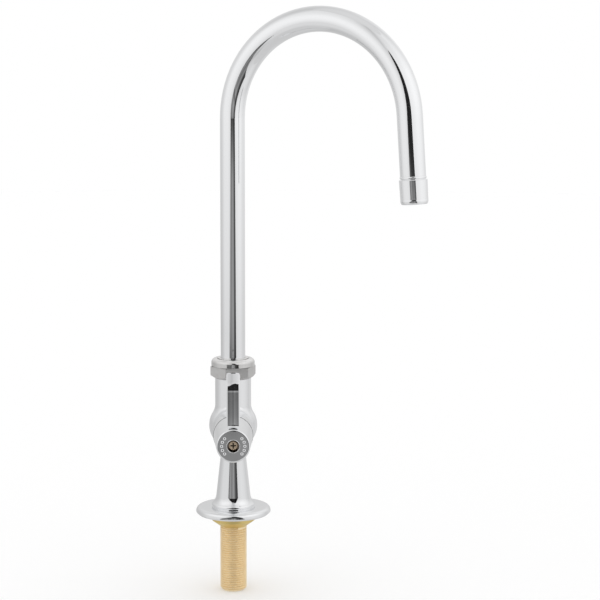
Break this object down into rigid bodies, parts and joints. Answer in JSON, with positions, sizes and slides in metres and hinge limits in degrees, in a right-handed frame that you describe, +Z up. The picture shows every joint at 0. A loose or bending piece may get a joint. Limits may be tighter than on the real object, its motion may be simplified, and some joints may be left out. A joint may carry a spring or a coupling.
{
  "type": "deck-mount gooseneck faucet",
  "caption": "Deck-mount gooseneck faucet with a swivel spout, a side valve worked by a short lever on its face, and a threaded brass shank for a hole in the deck.",
  "frame": {"origin": "on the shank's axis in the plane of the deck, which is the flat rim under the flange", "axes": "+Z up along the shank and the spout's post, -Y along the valve towards the user, +X to the user's right; at rest the spout stands 30.5 degrees from +X towards the user"},
  "size_m": [0.1715, 0.1173, 0.4546],
  "materials": {
    "body_chrome": "bright chrome plate on a cast brass body",
    "spout_chrome": "bright chrome plate on drawn tube",
    "handle_chrome": "bright chrome plate on a casting",
    "nut_nickel": "duller, slightly warm satin plate",
    "raw_brass": "unplated, as machined",
    "screw_bronze": "tan-brown, a plain unplated screw gone dull",
    "turned_brass": "unplated, turned, inside the faucet",
    "seal_rubber": "black, smooth",
    "ceramic": null,
    "white_plastic": "natural acetal",
    "fibre": "red-brown vulcanised fibre",
    "stainless": "stainless steel"
  },
  "bodies": {
    "base": {"body_casting": "body_chrome", "shank": "raw_brass", "shank_washer": "fibre", "cartridge_housing": "turned_brass", "cartridge_o_ring": "seal_rubber", "cartridge_seat_seal": "seal_rubber", "fixed_ceramic_disc": "ceramic", "stem_thrust_washer": "white_plastic", "bonnet_nut": "turned_brass", "swivel_nut": "nut_nickel", "swivel_lower_washer": "white_plastic", "swivel_upper_washer": "white_plastic"},
    "handle": {"lever_handle": "handle_chrome", "handle_screw": "screw_bronze", "cartridge_stem": "turned_brass", "moving_ceramic_disc": "ceramic", "stem_o_rings": "seal_rubber", "stem_stop_washer": "stainless", "stem_clip": "stainless"},
    "spout": {"gooseneck_tube": "spout_chrome", "swivel_ferrule": "turned_brass", "swivel_o_rings": "seal_rubber", "outlet_collar": "spout_chrome", "outlet_washer": "seal_rubber", "outlet_screen": "stainless", "flow_straightener": "white_plastic", "outlet_retaining_ring": "turned_brass"}
  },
  "joints": [
    {"name": "spout_swivel", "type": "hinge", "parent": "base", "child": "spout", "pos_m": [0, 0, 0.1175], "axis": [0, 0, 1], "continuous": true},
    {"name": "handle_turn", "type": "hinge", "parent": "base", "child": "handle", "pos_m": [0, 0, 0.0704], "axis": [0, -1, 0], "range_deg": [0, 90]}
  ]
}
